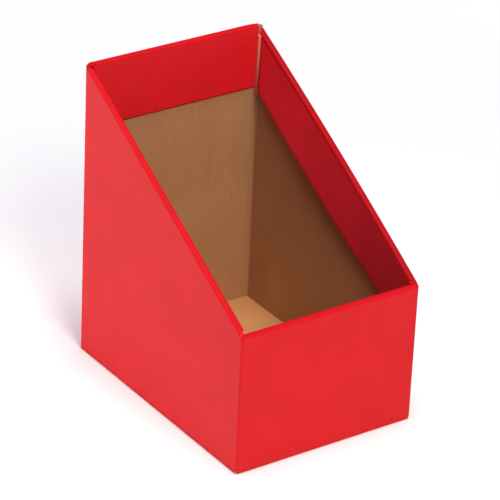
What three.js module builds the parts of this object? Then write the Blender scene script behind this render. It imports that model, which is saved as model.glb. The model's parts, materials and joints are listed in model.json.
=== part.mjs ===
// A classroom book box folded from one die-cut sheet of corrugated board: a deep open bin with a tall
// back, sloping sides and a low front. Every panel between two creases is its own mesh.
// Millimetres. X runs to the right, Y to the back and Z up. The origin is on the ground, under the
// middle of the box.

import * as THREE from 'three';
import { ConvexGeometry } from 'three/addons/geometries/ConvexGeometry.js';

// ---- driving dimensions ----

const WIDTH = 180;          // outside, left to right
const DEPTH = 246;          // outside, front to back
const BACK_HEIGHT = 277;
const SIDE_HEIGHT = 275.2;  // high end of the sloping rims, a little under the back's
const FRONT_HEIGHT = 130.4;
const BOARD = 3;            // thickness of the corrugated board
const GAP = 0.3;            // clearance between neighbouring panels

const LEVEL_FLAP = { back: 60, front: 48 };     // how far the level rim flaps reach down
const SIDE_FLAP = 46.5;                         // the same, square to the sloping crease
const FLAP_END_GAP = 0.7;                       // level flap short of the side strip, at the top
const FLAP_END_TAPER = 1.4;                      // the extra gap at the foot of a level flap
const SIDE_FLAP_START = 9;                      // side flap's square front end, along the crease
const SIDE_FLAP_BACK = 11;                      // its upright back end, from the back face
const SIDE_STRIP_GAP = 0.8;                     // high end of a side strip to the back panel

const GLUE_TAB = { width: 30, bottom: 10, top: 210, slant: 8 };
const TUCK_TAB = { width: 100, top: 25, slant: 4, clearance: 1.5 };
const DUST_NOTCH_MARGIN = 4;                    // room beside the tuck tab
const DUST_MITRE = 0.6;                         // the mitre's set-back behind the front panel

// ---- what follows from them ----

const HALF_WIDTH = WIDTH / 2;
const HALF_DEPTH = DEPTH / 2;
const RIM = 2 * BOARD + GAP;                    // a rim strip spans the panel and its folded flap
const MITRE_GAP = GAP / Math.SQRT2;
const SLOPE = Math.atan2(SIDE_HEIGHT - FRONT_HEIGHT, DEPTH);
const PANEL_DROP = BOARD + GAP;                 // a panel ends this far under the top of its rim

const X = new THREE.Vector3(1, 0, 0);
const Y = new THREE.Vector3(0, 1, 0);
const Z = new THREE.Vector3(0, 0, 1);
const UP_SLOPE = new THREE.Vector3(0, Math.cos(SLOPE), Math.sin(SLOPE));
const OFF_SLOPE = new THREE.Vector3(0, -Math.sin(SLOPE), Math.cos(SLOPE));

const box = new THREE.Group();
const point = (x, y, z) => new THREE.Vector3(x, y, z);

function printedBoard() {
  return new THREE.MeshStandardMaterial({ color: 0xe22a2e, roughness: 0.5, metalness: 0 });
}

function plainBoard() {
  return new THREE.MeshStandardMaterial({ color: 0xb07a4c, roughness: 0.9, metalness: 0 });
}

function add(name, geometry, material) {
  const mesh = new THREE.Mesh(geometry, material);
  mesh.name = name;
  box.add(mesh);
}

// A flat panel is the solid between the corners of its two faces.
function addPanel(name, outerFace, innerFace, material) {
  add(name, new ConvexGeometry([...outerFace, ...innerFace]), material);
}

// ---- walls, mitred where they meet at the upright creases ----

// The corners of one face of the front or back panel, at the given Y.
function levelWallFace(y, halfWidth, bottom, top) {
  return [
    point(-halfWidth, y, bottom), point(halfWidth, y, bottom),
    point(halfWidth, y, top), point(-halfWidth, y, top),
  ];
}

function addLevelWall(name, side, bottom, height) {
  const outer = HALF_WIDTH - MITRE_GAP;
  const top = height - PANEL_DROP;
  addPanel(
    name,
    levelWallFace(side * HALF_DEPTH, outer, bottom, top),
    levelWallFace(side * (HALF_DEPTH - BOARD), outer - BOARD, bottom, top),
    printedBoard(),
  );
}

// The height of a side panel's sloping edge at the given Y.
function sideEdge(y) {
  return FRONT_HEIGHT + (y + HALF_DEPTH) * Math.tan(SLOPE) - PANEL_DROP / Math.cos(SLOPE);
}

function sideWallFace(x, halfDepth) {
  return [
    point(x, -halfDepth, 0), point(x, halfDepth, 0),
    point(x, halfDepth, sideEdge(halfDepth)), point(x, -halfDepth, sideEdge(-halfDepth)),
  ];
}

function addSideWall(name, side) {
  const outer = HALF_DEPTH - MITRE_GAP;
  addPanel(
    name,
    sideWallFace(side * HALF_WIDTH, outer),
    sideWallFace(side * (HALF_WIDTH - BOARD), outer - BOARD),
    printedBoard(),
  );
}

addLevelWall('back_panel', 1, 0, BACK_HEIGHT);
addLevelWall('front_panel', -1, BOARD + GAP, FRONT_HEIGHT);
addSideWall('left_side_panel', -1);
addSideWall('right_side_panel', 1);

// ---- rims: a strip along the top of each wall, and a flap folded down inside it ----

// Each rim is drawn from the outer end of its crease: along it, inward across the board, and up.
const rims = {
  back: {
    start: point(-HALF_WIDTH, HALF_DEPTH, BACK_HEIGHT),
    along: X, inward: Y.clone().negate(), up: Z, length: WIDTH,
  },
  front: {
    start: point(-HALF_WIDTH, -HALF_DEPTH, FRONT_HEIGHT),
    along: X, inward: Y, up: Z, length: WIDTH,
  },
  left: {
    start: point(-HALF_WIDTH, -HALF_DEPTH, FRONT_HEIGHT),
    along: UP_SLOPE, inward: X, up: OFF_SLOPE, length: DEPTH / Math.cos(SLOPE),
  },
  right: {
    start: point(HALF_WIDTH, -HALF_DEPTH, FRONT_HEIGHT),
    along: UP_SLOPE, inward: X.clone().negate(), up: OFF_SLOPE, length: DEPTH / Math.cos(SLOPE),
  },
};

function rimPoint(rim, along, inward, up) {
  return rim.start.clone()
    .addScaledVector(rim.along, along)
    .addScaledVector(rim.inward, inward)
    .addScaledVector(rim.up, up);
}

// A strip's ends draw back by each corner's distance from the outer crease, so that two strips that
// meet at a corner can each turn on their crease without touching. The far end may have to draw back
// further: farLimit gives the least that it does, at each depth under the top.
function addRimStrip(name, rim, farLimit = () => 0) {
  const corners = [];
  for (const inward of [0, RIM]) {
    for (const depth of [0, BOARD]) {
      const drawBack = Math.hypot(inward, depth) + MITRE_GAP;
      const farDrawBack = Math.max(drawBack, farLimit(depth));
      corners.push(rimPoint(rim, drawBack, inward, -depth));
      corners.push(rimPoint(rim, rim.length - farDrawBack, inward, -depth));
    }
  }
  add(name, new ConvexGeometry(corners), printedBoard());
}

// A flap hangs from the strip's inner crease. starts and ends give its two ends along the crease,
// each at the top and at the foot.
function addRimFlap(name, rim, reach, starts, ends) {
  const face = (inward) => [
    rimPoint(rim, starts[0], inward, -PANEL_DROP), rimPoint(rim, ends[0], inward, -PANEL_DROP),
    rimPoint(rim, ends[1], inward, -reach), rimPoint(rim, starts[1], inward, -reach),
  ];
  addPanel(name, face(RIM), face(RIM - BOARD), printedBoard());
}

for (const side of ['back', 'front']) {
  const rim = rims[side];
  const top = RIM + FLAP_END_GAP;
  const foot = top + FLAP_END_TAPER;
  addRimStrip(`${side}_rim_strip`, rim);
  addRimFlap(`${side}_rim_flap`, rim, LEVEL_FLAP[side], [top, foot], [WIDTH - top, WIDTH - foot]);
}

// The high end of a sloping strip is upright, just in front of the back panel.
function sideStripLimit(depth) {
  return (BOARD + SIDE_STRIP_GAP + depth * Math.sin(SLOPE)) / Math.cos(SLOPE);
}

// The back end of a side flap is upright, clear of the back flap.
function sideFlapEnd(reach) {
  const fromFront = DEPTH - SIDE_FLAP_BACK;
  return (fromFront - reach * Math.sin(SLOPE)) / Math.cos(SLOPE);
}

for (const side of ['left', 'right']) {
  const rim = rims[side];
  const starts = [SIDE_FLAP_START, SIDE_FLAP_START];
  addRimStrip(`${side}_rim_strip`, rim, sideStripLimit);
  addRimFlap(
    `${side}_rim_flap`, rim, SIDE_FLAP, starts,
    [sideFlapEnd(PANEL_DROP), sideFlapEnd(SIDE_FLAP)],
  );
}

// ---- the maker's seam: a tab on the left panel's back edge, glued inside the back panel ----

function glueTabFace(y) {
  const outer = -HALF_WIDTH + BOARD + GAP;
  const inner = -HALF_WIDTH + BOARD + GLUE_TAB.width;
  return [
    point(outer, y, GLUE_TAB.bottom), point(inner, y, GLUE_TAB.bottom + GLUE_TAB.slant),
    point(inner, y, GLUE_TAB.top - GLUE_TAB.slant), point(outer, y, GLUE_TAB.top),
  ];
}

const glueTabOuter = HALF_DEPTH - BOARD - GAP;
addPanel('glue_tab', glueTabFace(glueTabOuter), glueTabFace(glueTabOuter - BOARD), plainBoard());

// ---- base: two dust flaps on the side panels, over a base flap hinged on the front panel ----

const insideX = HALF_WIDTH - BOARD;
const tuckTabBack = HALF_DEPTH - BOARD - TUCK_TAB.clearance;

function baseFlapFace(z) {
  const halfWidth = insideX - GAP;
  return [
    point(-halfWidth, -HALF_DEPTH, z), point(halfWidth, -HALF_DEPTH, z),
    point(halfWidth, tuckTabBack, z), point(-halfWidth, tuckTabBack, z),
  ];
}

addPanel('base_flap', baseFlapFace(0), baseFlapFace(BOARD), plainBoard());

// The end of the base flap, folded up and tucked inside the back panel.
function tuckTabFace(y) {
  const foot = TUCK_TAB.width / 2;
  const head = foot - TUCK_TAB.slant;
  const bottom = BOARD + GAP;
  return [
    point(-foot, y, bottom), point(foot, y, bottom),
    point(head, y, TUCK_TAB.top), point(-head, y, TUCK_TAB.top),
  ];
}

addPanel('base_tuck_tab', tuckTabFace(tuckTabBack), tuckTabFace(tuckTabBack - BOARD), plainBoard());

// A dust flap lies on the base flap. Its front end is mitred, so that it can swing down together with
// the base flap, and its back end is cut short beside the tuck tab.
function addDustFlap(name, side) {
  const outer = insideX - GAP;
  const inner = GAP / 2;
  const notch = TUCK_TAB.width / 2 + DUST_NOTCH_MARGIN;
  const front = -HALF_DEPTH + BOARD + DUST_MITRE + GAP;
  const back = HALF_DEPTH - BOARD - GAP;
  const shortBack = tuckTabBack - BOARD - GAP;
  const outline = [
    [outer, front], [outer, back], [notch, back], [notch, shortBack],
    [inner, shortBack], [inner, front + outer - inner],
  ];
  const shape = new THREE.Shape(outline.map(([x, y]) => new THREE.Vector2(side * x, y)));
  const geometry = new THREE.ExtrudeGeometry(shape, { depth: BOARD, bevelEnabled: false });
  geometry.translate(0, 0, BOARD + GAP);
  add(name, geometry, plainBoard());
}

addDustFlap('left_dust_flap', -1);
addDustFlap('right_dust_flap', 1);

export default box;
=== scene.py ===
"""Looks for the book box, an open bin folded from one sheet of corrugated board printed red on one side.
Metres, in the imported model's frame: X to the right, Y to the back, Z up, and the origin on the ground under
the middle of the box."""

import json
import math

import bmesh
import bpy
from mathutils import Matrix, Vector


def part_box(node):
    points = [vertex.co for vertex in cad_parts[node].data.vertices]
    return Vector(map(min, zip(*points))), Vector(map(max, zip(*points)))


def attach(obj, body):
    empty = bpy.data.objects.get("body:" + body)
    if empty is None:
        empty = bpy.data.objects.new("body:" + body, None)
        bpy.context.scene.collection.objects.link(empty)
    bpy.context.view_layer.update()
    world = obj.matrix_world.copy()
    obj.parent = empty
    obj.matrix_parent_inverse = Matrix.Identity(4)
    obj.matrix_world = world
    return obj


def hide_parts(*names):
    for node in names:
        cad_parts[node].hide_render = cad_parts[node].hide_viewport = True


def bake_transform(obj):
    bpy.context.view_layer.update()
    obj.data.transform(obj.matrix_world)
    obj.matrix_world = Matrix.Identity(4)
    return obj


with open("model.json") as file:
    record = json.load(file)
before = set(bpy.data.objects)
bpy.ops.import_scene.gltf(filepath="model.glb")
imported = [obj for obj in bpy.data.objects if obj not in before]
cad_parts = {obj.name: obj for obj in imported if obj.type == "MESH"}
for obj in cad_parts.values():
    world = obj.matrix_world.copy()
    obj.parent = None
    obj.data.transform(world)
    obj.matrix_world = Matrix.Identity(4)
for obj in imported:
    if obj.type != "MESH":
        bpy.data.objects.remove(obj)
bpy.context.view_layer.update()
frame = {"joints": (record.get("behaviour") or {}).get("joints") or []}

# ---- sizes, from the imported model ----

MM = 0.001
HALF_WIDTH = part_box("right_side_panel")[1].x
HALF_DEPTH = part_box("back_panel")[1].y
BACK_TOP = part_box("back_rim_strip")[1].z
FRONT_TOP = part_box("front_rim_strip")[1].z
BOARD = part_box("base_flap")[1].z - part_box("base_flap")[0].z
PANEL_DROP = BACK_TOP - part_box("back_panel")[1].z       # a wall's cut top, under the top of its rim
GAP = PANEL_DROP - BOARD
RIM = 2 * BOARD + GAP                                   # a rim strip, over the wall and its flap
SIDE_CREASE = next(joint for joint in frame["joints"] if joint["name"] == "right_rim_crease")
SLOPE = math.atan2(SIDE_CREASE["axis"][2], SIDE_CREASE["axis"][1])
SIDE_TOP = FRONT_TOP + 2 * HALF_DEPTH * math.tan(SLOPE)     # high end of the sloping rims
BACK_FLAP_REACH = BACK_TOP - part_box("back_rim_flap")[0].z
FRONT_FLAP_REACH = FRONT_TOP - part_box("front_rim_flap")[0].z
SIDE_FLAP_REACH = 46.5 * MM         # square to the slope
SIDE_FLAP_START = 7 * MM            # from the front face, on plan
BASE_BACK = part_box("base_flap")[1].y + HALF_DEPTH       # depth of the base, from the front face
FLOOR_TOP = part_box("left_dust_flap")[1].z               # the floor that the books stand on
GLUE_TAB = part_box("glue_tab")

# ---- how the board is made ----

LINER = 0.35 * MM                   # paper on each face
MEDIUM = 0.2 * MM                   # paper of the wavy layer
FLUTE = 6.3 * MM                    # one wave
WAVE_STEPS = 8                      # columns of the mesh in one wave
WAVE_HEIGHT = BOARD / 2 - LINER - MEDIUM / 2
COLUMN_STEP = 4 * MM                # most between two columns of a liner's mesh
ROW_STEP = 14 * MM                  # and between two rows, along the flutes
FOLD_STEP = 12 * MM                 # and between two sections of a folded edge
SLIVER = 0.01 * MM                  # a column stands this far from a corner of its outline
SHARP_EDGE = math.radians(35)       # faces that meet at less look smooth

FOLD_RADIUS = 2 * MM                # outside of a creased edge
CORNER_RADIUS = 2.2 * MM            # outside of an upright corner
CORNER_CLEAR = 1.8 * MM             # the rims are cut back from the corners
WAIST = Vector((2.4 * MM, 1.8 * MM))    # inside of a crease, from the outer face and from the fold's top
MITRE_ZONE = 8 * MM                 # over which a wall's layers are shortened towards its ends
CLOSE_GAP = 1.3 * MM                # along a rim, beside the web that fills the corner's mitre
OPEN_GAP = 2.2 * MM                 # the same at the high right corner
WEB_CLEAR = 0.12 * MM               # between the web and each rim
BACK_DROOP = 1.3 * MM               # the high right corner is pressed down a little
DROOP_REACH = 14 * MM               # this far out from it
CORNER_STEPS = [0, 0.4, 0.8, 1.2, 1.6, 2, 2.4, 2.8, 3.4, 5, 8]     # in mm, sections near a folded edge's end

RIGHT_BOW = 2 * MM                  # the long right wall bellies outward along its rim
LEFT_BOW = 0.4 * MM
RIGHT_FLAP_BOW = 5.5 * MM           # and its flap stands off it, in the middle of its free edge
LEFT_FLAP_BOW = 2 * MM
QUARTER_TURN = [k * math.pi / 12 for k in range(7)]

# finishes, in the order of FINISHES
PRINTED, KRAFT, CORE, CREASED, BOUNCE_LIT_KRAFT, LIT_FLOOR_KRAFT, PAINTED_SHADE_INK, SHADE_GRADIENT_INK, DIM_BOUNCE_KRAFT = range(9)

X, Y, Z = Vector((1, 0, 0)), Vector((0, 1, 0)), Vector((0, 0, 1))


# ---- edges that the board folds over ----

class Edge:
    """A folded edge. A point of it lies so far along it, inward from the outer face, and under its top."""

    def __init__(self, start, along, inward, up, run, bow=0.0, gaps=(0.0, 0.0), droop=0.0):
        self.start, self.along, self.inward, self.up = start, along, inward, up
        self.run = run                                  # its length on plan
        self.cos, self.sin = math.hypot(along.x, along.y), along.z
        self.bow = bow
        self.gaps = gaps                                # beside each end's mitre, along the edge
        self.droop = droop                              # at its right end

    def raw(self, along, inward, drop):
        return self.start + self.along * along + self.inward * inward - self.up * drop

    def point(self, along, inward, drop):
        return settle(self, self.raw(along, inward, drop))

    def mitre(self, inward, drop):
        """Both ends of a line along the edge, cut upright and at 45 degrees on plan."""
        inset = max(inward, CORNER_CLEAR)
        low = inset + self.gaps[0] - drop * self.sin
        high = self.run - inset - self.gaps[1] - drop * self.sin
        return low / self.cos, high / self.cos


def settle(edge, point):
    """Rounds the upright corners, presses down the high right corner, and lets the edge's wall belly out
    towards its rim."""
    x, y, z = point
    over_x = abs(x) - (HALF_WIDTH - CORNER_RADIUS)
    over_y = abs(y) - (HALF_DEPTH - CORNER_RADIUS)
    if over_x > 0 and over_y > 0:
        pull = 1 - max(over_x, over_y) / math.hypot(over_x, over_y)
        x -= math.copysign(over_x * pull, x)
        y -= math.copysign(over_y * pull, y)
    if edge.droop:
        near = max(0.0, (x - HALF_WIDTH) / DROOP_REACH + 1) * max(0.0, (z - BACK_TOP) / DROOP_REACH + 1)
        z -= edge.droop * min(1.0, near)
    wall_top = FRONT_TOP + (y + HALF_DEPTH) * math.tan(SLOPE)
    share = max(0.0, 1 - (y / HALF_DEPTH) ** 2) * (z / wall_top) ** 2
    return Vector((x, y, z)) - edge.inward * (edge.bow * share)


UP_SLOPE = Vector((0, math.cos(SLOPE), math.sin(SLOPE)))
OFF_SLOPE = Vector((0, -math.sin(SLOPE), math.cos(SLOPE)))
LONG, WIDE = 2 * HALF_DEPTH, 2 * HALF_WIDTH

FRONT_LEFT = Vector((-HALF_WIDTH, -HALF_DEPTH, FRONT_TOP))
FRONT_RIGHT = Vector((HALF_WIDTH, -HALF_DEPTH, FRONT_TOP))
BACK_LEFT = Vector((-HALF_WIDTH, HALF_DEPTH, BACK_TOP))

RIMS = {
    "back": Edge(BACK_LEFT, X, -Y, Z, WIDE, 0.0, (CLOSE_GAP, OPEN_GAP), BACK_DROOP),
    "front": Edge(FRONT_LEFT, X, Y, Z, WIDE, 0.0, (CLOSE_GAP, CLOSE_GAP)),
    "left": Edge(FRONT_LEFT, UP_SLOPE, X, OFF_SLOPE, LONG, LEFT_BOW, (CLOSE_GAP, CLOSE_GAP)),
    "right": Edge(FRONT_RIGHT, UP_SLOPE, -X, OFF_SLOPE, LONG, RIGHT_BOW, (CLOSE_GAP, OPEN_GAP)),
}
BASE_EDGE = Edge(Vector((-HALF_WIDTH, -HALF_DEPTH, 0)), X, Y, -Z, WIDE)
FOOT_EDGES = {
    "left": Edge(Vector((-HALF_WIDTH, -HALF_DEPTH, 0)), Y, X, -Z, LONG),
    "right": Edge(Vector((HALF_WIDTH, -HALF_DEPTH, 0)), Y, -X, -Z, LONG),
}


# ---- meshes ----

class Shape:
    """Points, faces, and the finish and board coordinates that go with them."""

    def __init__(self):
        self.points, self.boards, self.faces, self.finishes = [], [], [], []

    def add_point(self, point, board):
        self.points.append(point)
        self.boards.append(board)
        return len(self.points) - 1

    def add_face(self, corners, finish):
        self.faces.append(corners)
        self.finishes.append(finish)

    def add_sheet(self, place, columns, depths, finishes):
        """A closed sheet of paper. A column is its place across the flutes and its rows' places along them;
        depths gives its two faces' depths there, and finishes those of the two faces, the cut edges and the
        first face's last row."""
        sides = []
        for side in (0, 1):
            sides.append([
                [self.add_point(place(across, row, depths(across)[side]), (across, row)) for row in rows]
                for across, rows in columns
            ])
        last_column, last_row = len(columns) - 1, len(columns[0][1]) - 1
        for side in (0, 1):
            grid = sides[side]
            for c in range(last_column):
                for r in range(last_row):
                    finish = finishes[3] if side == 0 and r == last_row - 1 else finishes[side]
                    self.add_face((grid[c][r], grid[c + 1][r], grid[c + 1][r + 1], grid[c][r + 1]), finish)
        front, back = sides
        for c in range(last_column):
            for r in (0, last_row):
                self.add_face((front[c][r], front[c + 1][r], back[c + 1][r], back[c][r]), finishes[2])
        for r in range(last_row):
            for c in (0, last_column):
                self.add_face((front[c][r], front[c][r + 1], back[c][r + 1], back[c][r]), finishes[2])

    def add_fold(self, edge, section, finishes, ends=None, caps=(CORE, CORE)):
        """A bar along an edge. Its section is a ring of (inward, drop), with a finish for each of its sides
        and one for each of its two ends."""
        ends = ends or edge.mitre
        reach = [0.0]
        for one, two in zip(section, section[1:]):
            reach.append(reach[-1] + math.dist(one, two))
        rings = []
        for share in stations(edge.run):
            ring = []
            for (inward, drop), path in zip(section, reach):
                low, high = ends(inward, drop)
                along = low + (high - low) * share
                ring.append(self.add_point(edge.point(along, inward, drop), (along, path)))
            rings.append(ring)
        count = len(section)
        for one, two in zip(rings, rings[1:]):
            for k in range(count):
                after = (k + 1) % count
                self.add_face((one[k], one[after], two[after], two[k]), finishes[k])
        self.add_face(tuple(rings[0]), caps[0])
        self.add_face(tuple(rings[-1]), caps[1])

    def add_post(self, levels, finishes):
        """An upright bar through several rings of points. Its last finish is for its two ends."""
        rings = []
        for level in levels:
            rings.append([self.add_point(Vector((x, y, z)), (x + y, z)) for x, y, z in level])
        for one, two in zip(rings, rings[1:]):
            for k in range(len(one)):
                after = (k + 1) % len(one)
                self.add_face((one[k], one[after], two[after], two[k]), finishes[k])
        self.add_face(tuple(rings[0]), finishes[-1])
        self.add_face(tuple(rings[-1]), finishes[-1])

    def make(self, name):
        mesh = bpy.data.meshes.new(name)
        mesh.from_pydata(self.points, [], self.faces)
        used = sorted(set(self.finishes))
        for finish in used:
            mesh.materials.append(FINISHES[finish])
        mesh.polygons.foreach_set("material_index", [used.index(finish) for finish in self.finishes])
        board = mesh.uv_layers.new(name="board")
        for loop in mesh.loops:
            board.data[loop.index].uv = self.boards[loop.vertex_index]
        work = bmesh.new()
        work.from_mesh(mesh)
        bmesh.ops.dissolve_degenerate(work, dist=SLIVER / 10, edges=work.edges)
        bmesh.ops.recalc_face_normals(work, faces=work.faces)
        work.to_mesh(mesh)
        work.free()
        mesh.shade_smooth()
        mesh.set_sharp_from_angle(angle=SHARP_EDGE)
        piece = bpy.data.objects.new(name, mesh)
        bpy.context.collection.objects.link(piece)
        return piece


def stations(length):
    """Shares of a length, close together near its ends, where the corners are round."""
    ends = [place * MM / length for place in CORNER_STEPS]
    middle_count = math.ceil(length / FOLD_STEP)
    middle = [k / middle_count for k in range(1, middle_count)]
    middle = [share for share in middle if ends[-1] < share < 1 - ends[-1]]
    return ends + middle + [1 - share for share in reversed(ends)]


def spread(breaks, step):
    """The breaks, with places between them no further apart than a step."""
    places = []
    for low, high in zip(breaks, breaks[1:]):
        count = max(1, math.ceil((high - low) / step))
        places += [low + (high - low) * k / count for k in range(count)]
    return places + [breaks[-1]]


def cut_column(outline, across, flute):
    """The two places along a flute where it leaves the outline."""
    cross = Vector((flute.y, -flute.x))
    found = []
    for one, two in zip(outline, outline[1:] + outline[:1]):
        a, b = one.dot(cross) - across, two.dot(cross) - across
        if a * b <= 0 and abs(a - b) > 1e-9:
            found.append(one.lerp(two, a / (a - b)).dot(flute))
    return min(found), max(found)


ROUND_COLUMNS = 10                  # steps over a wall's round end
ROUND_STEP = 0.4 * MM
NARROW_ROW = 0.25                   # of the painted-shadow row's width


def add_fluted_board(shape, outline, place, flute=(0, 1), faces=(PRINTED, KRAFT), round_ends=False, foot=0.0):
    """Corrugated board: two liners and the wavy medium between them. place takes a point of the outline and
    a depth under the first liner's face. round_ends puts more columns where a wall turns its corners. foot is
    the width of a last row along the flutes' far ends, in darker red as painted shadow, with a narrow row
    before it."""
    outline = [Vector(corner) for corner in outline]
    flute = Vector(flute).normalized()
    cross = Vector((flute.y, -flute.x))
    corners = sorted({round(corner.dot(cross), 7) for corner in outline})
    breaks = [corners[0] + SLIVER]
    for corner in corners[1:-1]:
        breaks += [corner - SLIVER, corner + SLIVER]
    breaks.append(corners[-1] - SLIVER)
    liner_breaks = list(breaks)
    if round_ends:
        for k in range(1, ROUND_COLUMNS):
            liner_breaks += [corners[0] + k * ROUND_STEP, corners[-1] - k * ROUND_STEP]
        liner_breaks.sort()
    span = [corner.dot(flute) for corner in outline]
    row_count = max(3, math.ceil((max(span) - min(span)) / ROW_STEP))

    def columns(places):
        made = []
        for across in places:
            low, high = cut_column(outline, across, flute)
            rows = [low + (high - low) * r / row_count for r in range(row_count + 1)]
            if foot:
                bend = max(high - foot, (rows[-2] + high) / 2)
                rows[-1:-1] = [max(bend - NARROW_ROW * foot, (rows[-2] + bend) / 2), bend]
            made.append((across, rows))
        return made

    def on_board(across, along, depth):
        spot = cross * across + flute * along
        return place(spot.x, spot.y, depth)

    def wave(across):
        middle = BOARD / 2 + WAVE_HEIGHT * math.cos(2 * math.pi * across / FLUTE)
        return middle - MEDIUM / 2, middle + MEDIUM / 2

    # the outer face's last row takes the darker red: a painted shadow along the free edge
    outer = (faces[0], CORE, CORE, PAINTED_SHADE_INK if foot else faces[0])
    inner = (CORE, faces[1], CORE, CORE)
    liner_columns = columns(spread(liner_breaks, COLUMN_STEP))
    wave_columns = columns(spread(breaks, FLUTE / WAVE_STEPS))
    shape.add_sheet(on_board, liner_columns, lambda across: (0.0, LINER), outer)
    shape.add_sheet(on_board, wave_columns, wave, (CORE, CORE, CORE, CORE))
    shape.add_sheet(on_board, liner_columns, lambda across: (BOARD - LINER, BOARD), inner)


FLAT_SIDES = 4                      # of a crease's section, which look like the wall under it
FLAT_SIDE = 0.3 * MM


def crease_section(mirrored=False, finish=CREASED):
    """A crease of the rim: outside round, inside pinched. Mirrored, it is the one between strip and flap."""
    section = [(0.0, PANEL_DROP - k * FLAT_SIDE) for k in range(FLAT_SIDES + 1)]
    section += [(FOLD_RADIUS * (1 - math.cos(a)), FOLD_RADIUS * (1 - math.sin(a))) for a in QUARTER_TURN]
    outer_sides = len(section) - 1
    foot = Vector((BOARD, PANEL_DROP))
    section += [tuple(WAIST.lerp(foot, k / 5)) for k in range(6)]
    if mirrored:
        section = [(RIM - inward, drop) for inward, drop in section]
    bent_sides = [finish] * (outer_sides - FLAT_SIDES)
    return section, [PRINTED] * FLAT_SIDES + bent_sides + [CORE] * (len(section) - outer_sides)


# ---- finishes ----

def new_material(name):
    """A material with its tree, its shader, and the board coordinates of each point."""
    material = bpy.data.materials.new(name)
    material.use_nodes = True
    tree = material.node_tree
    shader = tree.nodes["Principled BSDF"]
    board = tree.nodes.new("ShaderNodeUVMap")
    board.uv_map = "board"
    return material, tree, shader, board.outputs["UV"]


def math_node(tree, operation, *values):
    node = tree.nodes.new("ShaderNodeMath")
    node.operation = operation
    for socket, value in zip(node.inputs, values):
        if isinstance(value, bpy.types.NodeSocket):
            tree.links.new(value, socket)
        else:
            socket.default_value = value
    return node.outputs[0]


def noise(tree, coordinates, stretch, detail=3.0, roughness=0.55):
    """Noise whose features are about 1 / stretch metres across and along the flutes."""
    mapping = tree.nodes.new("ShaderNodeMapping")
    mapping.inputs["Scale"].default_value = (stretch[0], stretch[1], 1)
    texture = tree.nodes.new("ShaderNodeTexNoise")
    texture.noise_dimensions = "2D"
    texture.inputs["Scale"].default_value = 1
    texture.inputs["Detail"].default_value = detail
    texture.inputs["Roughness"].default_value = roughness
    tree.links.new(coordinates, mapping.inputs["Vector"])
    tree.links.new(mapping.outputs["Vector"], texture.inputs["Vector"])
    return texture.outputs["Fac"]


def flute_wave(tree, coordinates):
    """From -1 to 1, highest where the medium touches the inner liner."""
    parts = tree.nodes.new("ShaderNodeSeparateXYZ")
    tree.links.new(coordinates, parts.inputs[0])
    turns = math_node(tree, "MULTIPLY", parts.outputs["X"], 2 * math.pi / FLUTE)
    return math_node(tree, "COSINE", turns)


def between(tree, value, low, high):
    """0 under low, 1 over high, and smooth between them."""
    node = tree.nodes.new("ShaderNodeMapRange")
    node.interpolation_type = "SMOOTHSTEP"
    node.inputs["From Min"].default_value = low
    node.inputs["From Max"].default_value = high
    tree.links.new(value, node.inputs["Value"])
    return node.outputs["Result"]


def blend_colours(tree, share, one, two):
    node = tree.nodes.new("ShaderNodeMix")
    node.data_type = "RGBA"
    tree.links.new(share, node.inputs["Factor"])
    for socket, colour in ((node.inputs[6], one), (node.inputs[7], two)):
        if isinstance(colour, bpy.types.NodeSocket):
            tree.links.new(colour, socket)
        else:
            socket.default_value = (*colour, 1)
    return node.outputs[2]


def add_bump(tree, shader, height, distance):
    node = tree.nodes.new("ShaderNodeBump")
    node.inputs["Strength"].default_value = 1
    node.inputs["Distance"].default_value = distance
    tree.links.new(height, node.inputs["Height"])
    tree.links.new(node.outputs["Normal"], shader.inputs["Normal"])


RED = (0.615, 0.0100, 0.0135)
RED_DEEP = (0.58, 0.0090, 0.0125)
CREASE_RED = (0.58, 0.0070, 0.0120)
CREASE_DEEP = (0.55, 0.0060, 0.0110)
# darker red with cracked ink: painted shade on the right rim and painted shadow along the flaps' free edges
SHADED_INK_RED = (0.40, 0.0050, 0.0085)
SHADED_INK_DEEP = (0.36, 0.0045, 0.0080)
# a bluer red graded from dark at one end to light at the other: painted shade, darker towards the right
# flap's front
GRADIENT_LIT_RED = (0.77, 0.018, 0.029)
GRADIENT_SHADED_RED = (0.45, 0.0115, 0.023)
RED_WORN = (0.62, 0.018, 0.022)
KRAFT_PALE = (0.435, 0.214, 0.092)
KRAFT_BROWN = (0.365, 0.175, 0.075)
# lighter, warmer kraft on the floor's upward faces: painted light
LIT_FLOOR_PALE = (0.55, 0.270, 0.102)
LIT_FLOOR_BROWN = (0.47, 0.225, 0.082)
KRAFT_DARK = (0.16, 0.07, 0.035)
# bright salmon kraft: painted red bounce light and painted light where the board stands in shade
BOUNCE_KRAFT_PALE = (0.98, 0.22, 0.17)
BOUNCE_KRAFT_BROWN = (0.92, 0.175, 0.13)
# dimmer salmon kraft: painted red bounce light at the high right corner
DIM_BOUNCE_PALE = (0.50, 0.115, 0.082)
DIM_BOUNCE_BROWN = (0.44, 0.100, 0.070)
CORE_PALE = (0.66, 0.36, 0.20)
CORE_BROWN = (0.44, 0.21, 0.10)


# noise, in features to a metre across and along the flutes
CLOUD, GRAIN, CRACKS = (30, 22), (1400, 900), (700, 260)            # in the ink
STREAKS, PATCHES, FIBRES = (420, 16), (26, 14), (1500, 1100)        # in bare paper
DARK_FLECKS, PALE_FLECKS = (900, 650), (1300, 520)
FUZZ = (900, 900)                                                   # on a cut edge

PAPER_RELIEF = 0.03 * MM            # height of the bumps
EDGE_RELIEF = 0.1 * MM
CRACKED = 0.06                      # how worn the ink on the creases is


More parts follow.
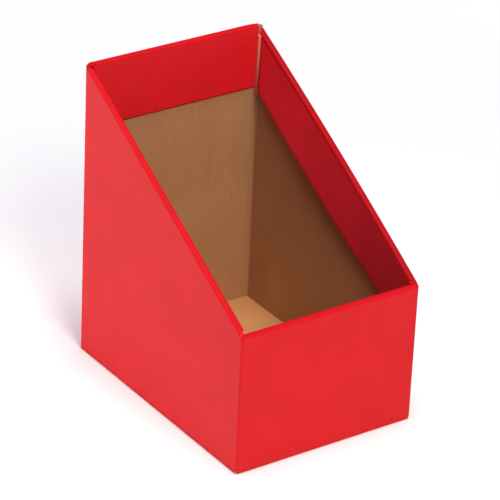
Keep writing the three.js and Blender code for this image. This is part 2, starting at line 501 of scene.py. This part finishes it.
def printed_board(name, deep, red, worn=0.0, gradient_length=0.0):
    """Red ink on smooth paper: satin, a little uneven, with the flutes just showing through. The more worn it
    is, the more of it has cracked and gone pale. The last argument is the length across the flutes over which
    it goes from deep to red, where it is otherwise cloudy: a painted shade gradient."""
    material, tree, shader, board = new_material(name)
    cloud = noise(tree, board, CLOUD, 4)
    grain = noise(tree, board, GRAIN, 2)
    share = between(tree, cloud, 0.3, 0.7)
    # painted shade: deep at one end of the board, lighter towards the other
    if gradient_length:
        parts = tree.nodes.new("ShaderNodeSeparateXYZ")
        tree.links.new(board, parts.inputs[0])
        shade_gradient = between(tree, parts.outputs["X"], 0.0, gradient_length)
        share = math_node(tree, "MULTIPLY_ADD", share, 0.2, math_node(tree, "MULTIPLY", shade_gradient, 0.8))
    colour = blend_colours(tree, share, deep, red)
    if worn:
        cracks = noise(tree, board, CRACKS, 4, 0.7)
        colour = blend_colours(tree, between(tree, cracks, 0.66 - worn, 0.9 - worn), colour, RED_WORN)
    tree.links.new(colour, shader.inputs["Base Color"])
    roughness = math_node(tree, "MULTIPLY_ADD", grain, 0.16, 0.36)
    tree.links.new(roughness, shader.inputs["Roughness"])
    shader.inputs["Specular IOR Level"].default_value = 0.05 if worn else 0.11
    relief = math_node(tree, "MULTIPLY", grain, 0.35)
    if not worn:
        relief = math_node(tree, "MULTIPLY_ADD", flute_wave(tree, board), -0.35, relief)
    add_bump(tree, shader, relief, PAPER_RELIEF)
    return material


def kraft_board(name, pale, brown):
    """Bare brown paper: faint streaks along the flutes, cloudy patches, dark and pale flecks."""
    material, tree, shader, board = new_material(name)
    streaks = noise(tree, board, STREAKS, 3, 0.6)
    patches = noise(tree, board, PATCHES, 3, 0.5)
    fibres = noise(tree, board, FIBRES, 3, 0.6)
    wave = flute_wave(tree, board)
    tone = math_node(tree, "MULTIPLY_ADD", streaks, 0.3, math_node(tree, "MULTIPLY", patches, 0.35))
    tone = math_node(tree, "MULTIPLY_ADD", fibres, 0.35, tone)
    # a faint tone that follows the flutes, paler where the medium touches the inner liner: painted shade of
    # the washboard grooves
    tone = math_node(tree, "MULTIPLY_ADD", wave, 0.012, tone)
    colour = blend_colours(tree, between(tree, tone, 0.3, 0.75), brown, pale)
    dark = noise(tree, board, DARK_FLECKS, 2, 0.5)
    colour = blend_colours(tree, between(tree, dark, 0.72, 0.78), colour, KRAFT_DARK)
    light = noise(tree, board, PALE_FLECKS, 2, 0.5)
    colour = blend_colours(tree, between(tree, light, 0.73, 0.82), colour, CORE_PALE)
    tree.links.new(colour, shader.inputs["Base Color"])
    shader.inputs["Roughness"].default_value = 0.82
    shader.inputs["Specular IOR Level"].default_value = 0.25
    relief = math_node(tree, "MULTIPLY_ADD", wave, 0.35, math_node(tree, "MULTIPLY", fibres, 0.6))
    add_bump(tree, shader, relief, PAPER_RELIEF)
    return material


def core_board(name):
    """The cut edge and the wavy layer: soft, pale, fibrous."""
    material, tree, shader, board = new_material(name)
    fuzz = noise(tree, board, FUZZ, 3, 0.7)
    colour = blend_colours(tree, between(tree, fuzz, 0.3, 0.7), CORE_BROWN, CORE_PALE)
    tree.links.new(colour, shader.inputs["Base Color"])
    shader.inputs["Roughness"].default_value = 0.95
    shader.inputs["Specular IOR Level"].default_value = 0.1
    add_bump(tree, shader, fuzz, EDGE_RELIEF)
    return material


printed = printed_board("printed_red", RED_DEEP, RED)
creased = printed_board("printed_red_creased", CREASE_DEEP, CREASE_RED, worn=CRACKED)
# the darker red is painted shade
shaded_ink = printed_board("printed_red_painted_shade", SHADED_INK_DEEP, SHADED_INK_RED, worn=CRACKED)
kraft = kraft_board("kraft_liner", KRAFT_PALE, KRAFT_BROWN)
# the lighter floor kraft is painted light
lit_floor_kraft = kraft_board("kraft_floor_painted_light", LIT_FLOOR_PALE, LIT_FLOOR_BROWN)
core = core_board("cut_edge")
# the salmon kraft is painted red bounce light
bounce_kraft = kraft_board("kraft_painted_red_bounce", BOUNCE_KRAFT_PALE, BOUNCE_KRAFT_BROWN)
# the graded red is painted shade
shade_gradient = printed_board("printed_red_shade_gradient", GRADIENT_SHADED_RED, GRADIENT_LIT_RED, gradient_length=LONG)
# the dimmer salmon kraft is painted red bounce light
kraft_dim_red_bounce = kraft_board("kraft_dim_red_bounce", DIM_BOUNCE_PALE, DIM_BOUNCE_BROWN)
FINISHES = (printed, kraft, core, creased, bounce_kraft, lit_floor_kraft, shaded_ink, shade_gradient, kraft_dim_red_bounce)


def place_piece(piece, body, node):
    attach(piece, body)
    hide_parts(node)


# ---- walls ----

def wall_place(edge):
    """Where a wall's board lies: across it from the edge's start, up from the ground, and in from its face.
    Its ends are mitred, so the inner layers are shorter."""
    level = Vector((edge.along.x, edge.along.y, 0)).normalized()
    foot = Vector((edge.start.x, edge.start.y, 0))

    def place(across, height, depth):
        across += depth * max(0.0, 1 - across / MITRE_ZONE)
        across -= depth * max(0.0, 1 - (edge.run - across) / MITRE_ZONE)
        return settle(edge, foot + level * across + edge.inward * depth + Z * height)
    return place


def corner_height(y, end, drop, pick):
    """The lower (pick is min) or higher (max) of the two rims at a corner, less a drop square to each."""
    level = BACK_TOP if end > 0 else FRONT_TOP
    slanted = FRONT_TOP + (y + HALF_DEPTH) * math.tan(SLOPE)
    return pick(level - drop, slanted - drop / math.cos(SLOPE))


BEAD = (1.3 * MM, 1.9 * MM)         # just under the flaps: from the corner, across each of the two walls
FLAT_BEAD = (0.4 * MM, 0.6 * MM)    # further down
SLACK_BEAD = (3.8 * MM, 5.4 * MM)   # between the flaps
BEAD_FADE = 50 * MM                 # over which it flattens
BEAD_SHOULDER = 9 * MM              # under the flaps' feet, where it starts to widen
BEAD_WIDE = 2 * MM                  # over them, where it is as wide as it gets
BLUNTNESS = 0.35                    # of its section, where 1 is a plain oval
BEAD_TURN = [k * math.pi / 16 for k in range(9)]        # a quarter turn in finer steps


def bead_ring(side, end, size, height):
    """A blunt quarter of an oval in the corner between two walls."""
    x = (HALF_WIDTH - BOARD) * side
    y = (HALF_DEPTH - BOARD) * end
    ring = []
    for a in BEAD_TURN:
        over, out = math.cos(a) ** BLUNTNESS, max(0.0, math.sin(a)) ** BLUNTNESS
        ring.append((x - side * size[0] * over, y - end * size[1] * out))
    ring.append((x, y))
    return [(px, py, height(py)) for px, py in ring]


def add_corner_bead(shape, side, end, bottom, flap_foot, finish):
    """The inner liner, pinched where it turns an upright corner. Between the flaps it is a loose, stretched
    ridge that fills the space between them; at some corners its finish is kraft in painted red bounce light."""
    sides = len(BEAD_TURN) + 1
    shoulder = flap_foot - BEAD_SHOULDER
    if bottom < shoulder - BEAD_FADE:
        levels = ((bottom, FLAT_BEAD), (shoulder - BEAD_FADE, FLAT_BEAD), (shoulder, BEAD))
        rings = [bead_ring(side, end, size, lambda y, z=z: z) for z, size in levels]
        shape.add_post(rings, [KRAFT] * (sides + 1))
    rings = [bead_ring(side, end, BEAD, lambda y: max(bottom, shoulder))]
    rings.append(bead_ring(side, end, SLACK_BEAD, lambda y: flap_foot + BEAD_WIDE))
    rings.append(bead_ring(side, end, SLACK_BEAD, lambda y: corner_height(y, end, PANEL_DROP + GAP, min)))
    shape.add_post(rings, [finish] * (sides + 1))


WEB_TOP = 0.5 * MM                  # under the rims' surface
WEB_DEPTH = 5 * MM                  # its foot, under the lower rim's
WEB_MIDDLE = 3.8 * MM               # from both outer faces, where its finish may change
WEB_TIP = 5.85 * MM                 # clear of the flaps' creases when they open
FIN_TOP = 1.2 * MM                  # lower down it fills more of the mitre
FIN_TIP = 6.4 * MM
LONG_FIN_TIP = 6.75 * MM            # at the left back and right front corners
WEB_DROOP = 1.3 * BACK_DROOP        # at the high right corner
TIP_TURN = [k * math.pi / 6 for k in range(7)]          # half a turn, round its tip
WEB_SHOULDERS = ((0.4 * MM, 0.0), (0.15 * MM, 0.1), (0.0, 0.35))    # under its top, and narrowed by a share


def add_corner_web(shape, side, end, gap, reach, finish, droop=0.0, tip=WEB_TIP, top=WEB_TOP):
    """The liner's fold between the mitred ends of two rims, along the corner's diagonal. Reach is how far
    its two ends are from both outer faces, tip is as far as it may go and top its depth under the rims."""
    half = gap / 2 - WEB_CLEAR
    start, stop = reach[0], min(reach[1], tip - half * math.sqrt(2))
    outline = [(start + half, start - half)]
    for a in TIP_TURN:
        outline.append((stop + half * (math.cos(a) + math.sin(a)), stop - half * (math.cos(a) - math.sin(a))))
    outline.append((start - half, start + half))
    levels = []
    steps = [(WEB_DEPTH, 0.0, min)] + [(top + under, shrink, max) for under, shrink in WEB_SHOULDERS]
    for drop, shrink, pick in steps:
        level = []
        for u, v in outline:
            middle = (u + v) / 2
            u, v = u + (middle - u) * shrink, v + (middle - v) * shrink
            y = (HALF_DEPTH - v) * end
            level.append(((HALF_WIDTH - u) * side, y, corner_height(y, end, drop, pick) - droop))
        levels.append(level)
    shape.add_post(levels, [finish] * (len(outline) + 1))


POST_STEPS = 12                     # of its section, along each of the two walls
POST_SHOULDERS = ((0.6 * MM, 0.0), (0.15 * MM, 0.15 * MM), (0.0, 0.6 * MM))     # under its top, and set in
FRONT_POST_DROP = 0.2 * MM          # its top, under the front rim's


def add_corner_post(shape, side, end, bottom, top, gap):
    """The wall's own corner, which stands bare where the rims are cut back, with its cut edge on top."""
    reach = CORNER_CLEAR + gap - WEB_CLEAR
    shoulder = CORNER_CLEAR - WEB_CLEAR
    edge_steps = [k * reach / POST_STEPS for k in range(POST_STEPS + 1)]
    outline = [(0.0, step) for step in reversed(edge_steps)] + [(step, 0.0) for step in edge_steps[1:]]
    outline += [(reach, shoulder), (CORNER_CLEAR, CORNER_CLEAR), (shoulder, reach)]
    levels = []
    steps = [(bottom, 0.0)] + [(top - under, shrink) for under, shrink in POST_SHOULDERS]
    for z, shrink in steps:
        level = []
        for p, q in outline:
            corner = Vector(((HALF_WIDTH - max(p, shrink)) * side, (HALF_DEPTH - max(q, shrink)) * end, 0))
            spot = settle(BASE_EDGE, corner)
            level.append((spot.x, spot.y, z))
        levels.append(level)
    shape.add_post(levels, [CREASED] * (len(outline) + 1))


LEVEL_WALLS = (
    # name, bottom, top
    ("front", PANEL_DROP, FRONT_TOP - PANEL_DROP),
    ("back", 0.0, BACK_TOP - PANEL_DROP),
)
FRONT_FOOT, BACK_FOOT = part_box("front_rim_flap")[0].z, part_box("back_rim_flap")[0].z
BEAD_START = FLOOR_TOP + GAP

for name, bottom, top in LEVEL_WALLS:
    shape = Shape()
    wall_outline = [(0, bottom), (WIDE, bottom), (WIDE, top), (0, top)]
    add_fluted_board(shape, wall_outline, wall_place(RIMS[name]), round_ends=True)
    wall = shape.make(f"{name}_panel_board")
    place_piece(wall, "shell", f"{name}_panel")

for name, side in (("left", -1), ("right", 1)):
    shape = Shape()
    low_top = FRONT_TOP - PANEL_DROP / math.cos(SLOPE)
    high_top = low_top + LONG * math.tan(SLOPE)
    wall_outline = [(0, PANEL_DROP), (LONG, PANEL_DROP), (LONG, high_top), (0, low_top)]
    add_fluted_board(shape, wall_outline, wall_place(RIMS[name]), round_ends=True)
    foot_section = [(0.0, PANEL_DROP)]
    foot_section += [(FOLD_RADIUS * (1 - math.cos(a)), FOLD_RADIUS * (1 - math.sin(a))) for a in QUARTER_TURN]
    foot_section += [(BOARD - 2 * GAP, 0.0), (BOARD - GAP, GAP), (BOARD - GAP, PANEL_DROP)]
    shape.add_fold(FOOT_EDGES[name], foot_section, [CREASED] * len(QUARTER_TURN) + [CORE] * 4)
    # the left front corner takes the salmon kraft: painted red bounce light
    front_finish = BOUNCE_LIT_KRAFT if side < 0 else CREASED
    add_corner_bead(shape, side, -1, BEAD_START, FRONT_FOOT, front_finish)
    add_corner_post(shape, side, -1, low_top, FRONT_TOP - FRONT_POST_DROP, CLOSE_GAP)
    add_corner_web(shape, side, -1, CLOSE_GAP, (CORNER_CLEAR, WEB_MIDDLE), CREASED)
    add_corner_web(shape, side, -1, CLOSE_GAP, (WEB_MIDDLE, WEB_TIP), front_finish)
    back_gap, pressed = (CLOSE_GAP, 0.0) if side < 0 else (OPEN_GAP, BACK_DROOP)
    add_corner_post(shape, side, 1, BACK_TOP - PANEL_DROP, SIDE_TOP - pressed, back_gap)
    for end in (-1, 1):
        # the high right corner's fin takes the dimmer salmon kraft: painted red bounce light
        gap, finish = (OPEN_GAP, DIM_BOUNCE_KRAFT) if side > 0 and end > 0 else (CLOSE_GAP, CREASED)
        fin_tip = FIN_TIP if side * end > 0 else LONG_FIN_TIP
        add_corner_web(shape, side, end, gap, (WEB_MIDDLE, fin_tip), finish, tip=fin_tip, top=FIN_TOP)
    if side < 0:
        add_corner_bead(shape, side, 1, GLUE_TAB[1].z + GAP, BACK_FOOT, CREASED)
        add_corner_web(shape, side, 1, CLOSE_GAP, (CORNER_CLEAR, WEB_TIP), CREASED)
    else:
        # the right back bead takes the salmon kraft and its web the dimmer one: painted red bounce light
        add_corner_bead(shape, side, 1, BEAD_START, BACK_FOOT, BOUNCE_LIT_KRAFT)
        add_corner_web(shape, side, 1, OPEN_GAP, (CORNER_CLEAR, WEB_TIP), DIM_BOUNCE_KRAFT, WEB_DROOP)
    wall = shape.make(f"{name}_side_panel_board")
    place_piece(wall, "shell", f"{name}_side_panel")


# ---- rims: a crease, a strip, a crease and a flap along the top of each wall ----

STRIP_SECTION = [
    (FOLD_RADIUS, 0.0), (RIM - FOLD_RADIUS, 0.0), (RIM - WAIST.x, WAIST.y), tuple(WAIST),
]
LEVEL_FLAP_INSET = 7 * MM           # a level flap's ends, from the side faces at its crease
LEVEL_FLAP_TAPER = 1.4 * MM         # and further in at its foot
SIDE_FLAP_BACK = 11 * MM            # a side flap's upright back end, from the back face
FLAP_CORNER = 9 * MM                # its rounded lower back corner
CRUSH = 1.4 * MM                    # the die crushes a flap's free edge
CRUSH_SLOPE = 0.65
FLAP_REACH = {
    "back": BACK_FLAP_REACH, "front": FRONT_FLAP_REACH, "left": SIDE_FLAP_REACH, "right": SIDE_FLAP_REACH,
}
FLAP_BOW = {"back": 0.0, "front": 0.0, "left": LEFT_FLAP_BOW, "right": RIGHT_FLAP_BOW}
BOW_CURVE = 1.3                     # how the bow grows from the crease to the free edge
# the salmon kraft ends are painted red bounce light
RIM_ENDS = {
    "back": (CREASED, BOUNCE_LIT_KRAFT), "front": (BOUNCE_LIT_KRAFT, CREASED), "left": (BOUNCE_LIT_KRAFT, CREASED), "right": (CREASED, BOUNCE_LIT_KRAFT),
}


def flap_ends(name, drop):
    """Both ends of a line along a flap. The side flaps follow the slope, and their back ends are upright."""
    if RIMS[name].sin:
        return SIDE_FLAP_START, (LONG - SIDE_FLAP_BACK - drop * math.sin(SLOPE)) / math.cos(SLOPE)
    taper = LEVEL_FLAP_TAPER * (drop - PANEL_DROP) / (FLAP_REACH[name] - PANEL_DROP)
    return LEVEL_FLAP_INSET + taper, WIDE - LEVEL_FLAP_INSET - taper


def round_off(outline, corner, radius):
    """The outline with one corner rounded, starting and ending a radius from the corner."""
    here = Vector(outline[corner])
    before = here + (Vector(outline[corner - 1]) - here).normalized() * radius
    after = here + (Vector(outline[(corner + 1) % len(outline)]) - here).normalized() * radius
    arc = []
    for k in range(7):
        share = k / 6
        arc.append(tuple(before.lerp(here, share).lerp(here.lerp(after, share), share)))
    return outline[:corner] + arc + outline[corner + 1:]


for name, edge in RIMS.items():
    half_way = edge.run / edge.cos / 2
    node = f"{name}_rim"

    shape = Shape()
    caps = RIM_ENDS[name]
    # the right rim takes the darker red: painted shade
    rim_finish = PAINTED_SHADE_INK if name == "right" else CREASED
    shape.add_fold(edge, *crease_section(finish=rim_finish), caps=caps)
    crease = shape.make(f"{name}_rim_crease_board")
    edge.raw(half_way, 0, PANEL_DROP)
    edge.raw(half_way, 0, WAIST.y)
    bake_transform(crease)

    shape = Shape()
    shape.add_fold(edge, STRIP_SECTION, (rim_finish, CORE, CORE, CORE), caps=caps)
    strip = shape.make(f"{name}_rim_strip_board")
    place_piece(strip, node, f"{name}_rim_strip")

    def inner_ends(inward, drop):
        """From the strip's mitre at the top of the crease to the flap's ends at its foot."""
        share = drop / PANEL_DROP
        low, high = edge.mitre(inward, drop)
        flap_low, flap_high = flap_ends(name, PANEL_DROP)
        low, high = min(low, flap_low), max(high, flap_high)
        low_share = min(1.0, drop / WAIST.y)
        high_share = share if edge.sin else low_share
        return low + (flap_low - low) * low_share, high + (flap_high - high) * high_share

    shape = Shape()
    section, finishes = crease_section(mirrored=True, finish=rim_finish)
    shape.add_fold(edge, section, finishes, inner_ends, caps)
    crease = shape.make(f"{name}_flap_crease_board")
    flap_body = f"{name}_flap"
    edge.raw(half_way, RIM, WAIST.y)
    edge.raw(half_way, RIM, PANEL_DROP)
    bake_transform(crease)

    reach = FLAP_REACH[name]
    flap_bow = FLAP_BOW[name]

    def flap_place(along, drop, depth):
        middle = max(0.0, 1 - (along / half_way - 1) ** 2)
        depth_share = max(0.0, (drop - PANEL_DROP) / (reach - PANEL_DROP))
        lift = flap_bow * middle * depth_share ** BOW_CURVE
        crushed = max(0.0, drop - reach + CRUSH) * CRUSH_SLOPE
        return edge.point(along, RIM - depth - crushed * (1 - depth / BOARD) + lift, drop)

    top_low, top_high = flap_ends(name, PANEL_DROP)
    foot_low, foot_high = flap_ends(name, reach)
    flap_outline = [(top_low, PANEL_DROP), (top_high, PANEL_DROP), (foot_high, reach), (foot_low, reach)]
    if edge.sin:
        flap_outline = round_off(flap_outline, 2, FLAP_CORNER)
    flute = (math.sin(SLOPE), math.cos(SLOPE)) if edge.sin else (0, 1)
    shape = Shape()
    # the right flap's graded, bluer red is painted shade, darker towards the front
    faces = (SHADE_GRADIENT_INK if name == "right" else PRINTED, KRAFT)
    add_fluted_board(shape, flap_outline, flap_place, flute, faces, foot=CRUSH)
    flap = shape.make(f"{name}_rim_flap_board")
    place_piece(flap, flap_body, f"{name}_rim_flap")


# ---- glue tab ----

def glue_tab_place(along, height, depth):
    return Vector((GLUE_TAB[0].x + along, GLUE_TAB[1].y - depth, height))


GLUE_SLANT = 8 * MM                 # how far its ends lean
tab_width = GLUE_TAB[1].x - GLUE_TAB[0].x
tab_low, tab_high = GLUE_TAB[0].z, GLUE_TAB[1].z
shape = Shape()
tab_outline = [
    (0, tab_low), (tab_width, tab_low + GLUE_SLANT), (tab_width, tab_high - GLUE_SLANT), (0, tab_high),
]
add_fluted_board(shape, tab_outline, glue_tab_place, faces=(KRAFT, KRAFT))
glue_tab = shape.make("glue_tab_board")
place_piece(glue_tab, "shell", "glue_tab")


# ---- base: an outer flap with its tuck tab, under two dust flaps ----

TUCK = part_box("base_tuck_tab")
tuck_low, tuck_high = TUCK[0].x + HALF_WIDTH, TUCK[1].x + HALF_WIDTH
TUCK_SLANT = 4 * MM                 # how far the tab's ends lean in
base_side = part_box("base_flap")[0].x + HALF_WIDTH
SHOULDER = 4 * MM                   # solid board beside the base's crease


def base_place(along, inward, depth):
    return BASE_EDGE.point(along, inward, depth)


def tuck_place(along, height, depth):
    return BASE_EDGE.point(along, BASE_BACK - depth, height)


shape = Shape()
section, finishes = crease_section()
shape.add_fold(BASE_EDGE, section, finishes)
crease = shape.make("base_crease_board")
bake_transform(crease)

shape = Shape()
shoulder = [(FOLD_RADIUS, 0.0), (SHOULDER, 0.0), (SHOULDER, BOARD), (PANEL_DROP, BOARD), tuple(WAIST)]
shape.add_fold(BASE_EDGE, shoulder, [KRAFT] * 5, lambda inward, drop: (base_side, WIDE - base_side))
fold_back = BASE_BACK - PANEL_DROP
base_outline = [
    (base_side, SHOULDER), (WIDE - base_side, SHOULDER), (WIDE - base_side, BASE_BACK),
    (tuck_high, BASE_BACK), (tuck_high, fold_back), (tuck_low, fold_back), (tuck_low, BASE_BACK),
    (base_side, BASE_BACK),
]
# its top face, the floor, takes the lighter kraft: painted light
add_fluted_board(shape, base_outline, base_place, faces=(KRAFT, LIT_FLOOR_KRAFT))
base = shape.make("base_flap_board")
place_piece(base, "base", "base_flap")

shape = Shape()
tuck_fold = [(fold_back, 0.0)]
tuck_fold += [
    (BASE_BACK - FOLD_RADIUS * (1 - math.sin(a)), FOLD_RADIUS * (1 - math.cos(a))) for a in QUARTER_TURN
]
tuck_fold += [(BASE_BACK, PANEL_DROP), (BASE_BACK - BOARD, PANEL_DROP), (fold_back, BOARD)]
shape.add_fold(BASE_EDGE, tuck_fold, [KRAFT] * len(tuck_fold), lambda inward, drop: (tuck_low, tuck_high))
tuck_outline = [
    (tuck_low, PANEL_DROP), (tuck_high, PANEL_DROP),
    (tuck_high - TUCK_SLANT, TUCK[1].z), (tuck_low + TUCK_SLANT, TUCK[1].z),
]
add_fluted_board(shape, tuck_outline, tuck_place, faces=(KRAFT, KRAFT))
tuck = shape.make("base_tuck_tab_board")
place_piece(tuck, "base", "base_tuck_tab")

DUST_FOLD = 3 * MM                  # crushed board beside the crease
DUST_PINCH = 1.1 * MM               # and how far it is crushed
DUST_RIDGE = 4                      # steps across the crease
TUCK_CLEAR = 4 * MM                 # beside the tuck tab
NOTCH_SIDE = TUCK[1].x + TUCK_CLEAR
NOTCH_BACK = TUCK[0].y - GAP + HALF_DEPTH

for name, side in (("left", -1), ("right", 1)):
    low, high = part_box(f"{name}_dust_flap")
    hinge = (HALF_WIDTH - BOARD) * side

    def dust_place(across, out, depth):
        """Out is measured from the wall's inner face; the board is crushed beside it."""
        crush = max(0.0, 1 - out / DUST_FOLD) ** 2
        height = low.z + depth - DUST_PINCH * crush * depth / BOARD
        return Vector((hinge - side * out, across - HALF_DEPTH, height))

    near = HALF_WIDTH - BOARD - max(abs(low.x), abs(high.x))
    far = HALF_WIDTH - BOARD - min(abs(low.x), abs(high.x))
    front, back = low.y + HALF_DEPTH, high.y + HALF_DEPTH
    notch = HALF_WIDTH - BOARD - NOTCH_SIDE
    dust_outline = [
        (front, near), (front + far - near, far), (NOTCH_BACK, far),
        (NOTCH_BACK, notch), (back, notch), (back, near),
    ]
    shape = Shape()
    # its top face takes the lighter kraft: painted light
    add_fluted_board(shape, dust_outline, dust_place, faces=(KRAFT, LIT_FLOOR_KRAFT))
    dust = shape.make(f"{name}_dust_flap_board")
    place_piece(dust, f"{name}_dust", f"{name}_dust_flap")

    shape = Shape()
    pinch = low.z + BOARD - DUST_PINCH
    ridge = []
    for k in range(DUST_RIDGE + 1):
        share = k / DUST_RIDGE
        ridge.append((hinge - side * near * share, pinch + GAP * math.sin(math.pi * share)))
    ring = ridge + [(hinge - side * near, low.z), (hinge, low.z)]
    rows = [[shape.add_point(Vector((x, y - HALF_DEPTH, z)), (y, x)) for x, z in ring] for y in (front, back)]
    for k in range(len(ring)):
        after = (k + 1) % len(ring)
        shape.add_face((rows[0][k], rows[0][after], rows[1][after], rows[1][k]), KRAFT)
    shape.add_face(tuple(rows[0]), KRAFT)
    shape.add_face(tuple(rows[1]), KRAFT)
    crease = shape.make(f"{name}_dust_crease_board")
    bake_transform(crease)


# ---- floor, light and camera ----

FLOOR_SIZE = 6                      # from its middle to its edges
FLOOR_DROP = 0.2 * MM               # clear of the base
FLOOR_PAPER = (0.93, 0.93, 0.93, 1)
FLOOR_FADE = (0.25, 0.9)            # how far out the paper begins and ends to look like the backdrop
BACKDROP = (1.0, 1.0, 1.0, 1)
SKY = (0.82, 0.92, 1.45, 1)
SKY_STRENGTH = 0.2
BOX_MIDDLE = Vector((0, 0, (FRONT_TOP + BACK_TOP) / 4))


def show_to_camera(tree, share, lit, backdrop, output):
    """Sends lit to the output, with a share of backdrop in what the camera sees of it."""
    backdrop.inputs["Color"].default_value = BACKDROP
    seen = tree.nodes.new("ShaderNodeLightPath").outputs["Is Camera Ray"]
    chooser = tree.nodes.new("ShaderNodeMixShader")
    tree.links.new(math_node(tree, "MULTIPLY", share, seen), chooser.inputs[0])
    tree.links.new(lit.outputs[0], chooser.inputs[1])
    tree.links.new(backdrop.outputs[0], chooser.inputs[2])
    tree.links.new(chooser.outputs[0], tree.nodes[output].inputs["Surface"])


def make_floor():
    """Pale paper that, to the camera only, fades into a white backdrop."""
    work = bmesh.new()
    bmesh.ops.create_grid(work, x_segments=2, y_segments=2, size=FLOOR_SIZE)
    mesh = bpy.data.meshes.new("floor")
    work.to_mesh(mesh)
    work.free()
    material = bpy.data.materials.new("floor_paper")
    material.use_nodes = True
    tree = material.node_tree
    shader = tree.nodes["Principled BSDF"]
    shader.inputs["Base Color"].default_value = FLOOR_PAPER
    shader.inputs["Roughness"].default_value = 0.9
    shader.inputs["Specular IOR Level"].default_value = 0.0
    place = tree.nodes.new("ShaderNodeNewGeometry")
    spread_out = tree.nodes.new("ShaderNodeVectorMath")
    spread_out.operation = "LENGTH"
    tree.links.new(place.outputs["Position"], spread_out.inputs[0])
    far = between(tree, spread_out.outputs["Value"], *FLOOR_FADE)
    show_to_camera(tree, far, shader, tree.nodes.new("ShaderNodeEmission"), "Material Output")
    mesh.materials.append(material)
    floor = bpy.data.objects.new("floor", mesh)
    floor.location.z = -FLOOR_DROP
    bpy.context.collection.objects.link(floor)


def make_world():
    """A faint cool sky, with the white backdrop where the camera looks past the floor's far edge."""
    world = bpy.data.worlds.new("studio")
    world.use_nodes = True
    tree = world.node_tree
    sky = tree.nodes["Background"]
    sky.inputs["Color"].default_value = SKY
    sky.inputs["Strength"].default_value = SKY_STRENGTH
    show_to_camera(tree, 1.0, sky, tree.nodes.new("ShaderNodeBackground"), "World Output")
    bpy.context.scene.world = world


def direction(azimuth, elevation):
    """From the object towards something. Azimuth 0 is in front and -90 to the left."""
    a, e = math.radians(azimuth), math.radians(elevation)
    return Vector((math.sin(a) * math.cos(e), -math.cos(a) * math.cos(e), math.sin(e)))


def add_light(name, azimuth, elevation, distance, size, power, colour, target):
    data = bpy.data.lights.new(name, "AREA")
    data.shape = "DISK"
    data.size = size
    data.energy = power
    data.color = colour
    lamp = bpy.data.objects.new(name, data)
    away = direction(azimuth, elevation)
    lamp.location = target + away * distance
    lamp.rotation_euler = away.to_track_quat("Z", "Y").to_euler()
    bpy.context.collection.objects.link(lamp)


make_floor()
make_world()
LIGHTS = (
    # name, azimuth, elevation, distance, size, power, colour
    ("top", 0, 85, 2.2, 1.1, 34, (1.0, 0.95, 0.87)),
    ("front", -12, 40, 2.2, 1.0, 34, (1.0, 0.93, 0.85)),
    ("side", -135, 8, 1.8, 1.0, 24, (1.0, 0.98, 0.98)),
)
for light in LIGHTS:
    add_light(*light, BOX_MIDDLE)

CAMERA_AZIMUTH, CAMERA_ELEVATION = -35.61, 27.85
CAMERA_ROLL = math.radians(2.69)
CAMERA_DISTANCE = 2.683
CAMERA_AIM = Vector((0, -2.5 * MM, 120 * MM))
CAMERA_NUDGE = (0.33 * MM, 10.67 * MM)      # to its right and up
LENS, SENSOR = 226.67, 36           # in mm
FARTHEST = 50                       # how far it sees

back_vector = direction(CAMERA_AZIMUTH, CAMERA_ELEVATION)
level_right = Z.cross(back_vector).normalized()
level_up = back_vector.cross(level_right)
camera_right = level_right * math.cos(CAMERA_ROLL) + level_up * math.sin(CAMERA_ROLL)
camera_up = level_up * math.cos(CAMERA_ROLL) - level_right * math.sin(CAMERA_ROLL)
camera_data = bpy.data.cameras.new("camera")
camera_data.sensor_width = SENSOR
camera_data.lens = LENS
camera_data.clip_end = FARTHEST
camera = bpy.data.objects.new("camera", camera_data)
turned = Matrix((camera_right, camera_up, back_vector)).transposed().to_4x4()
turned.translation = (
    CAMERA_AIM + camera_right * CAMERA_NUDGE[0] + camera_up * CAMERA_NUDGE[1] + back_vector * CAMERA_DISTANCE
)
camera.matrix_world = turned
bpy.context.collection.objects.link(camera)
bpy.context.scene.camera = camera
bpy.context.scene.view_settings.view_transform = "Standard"
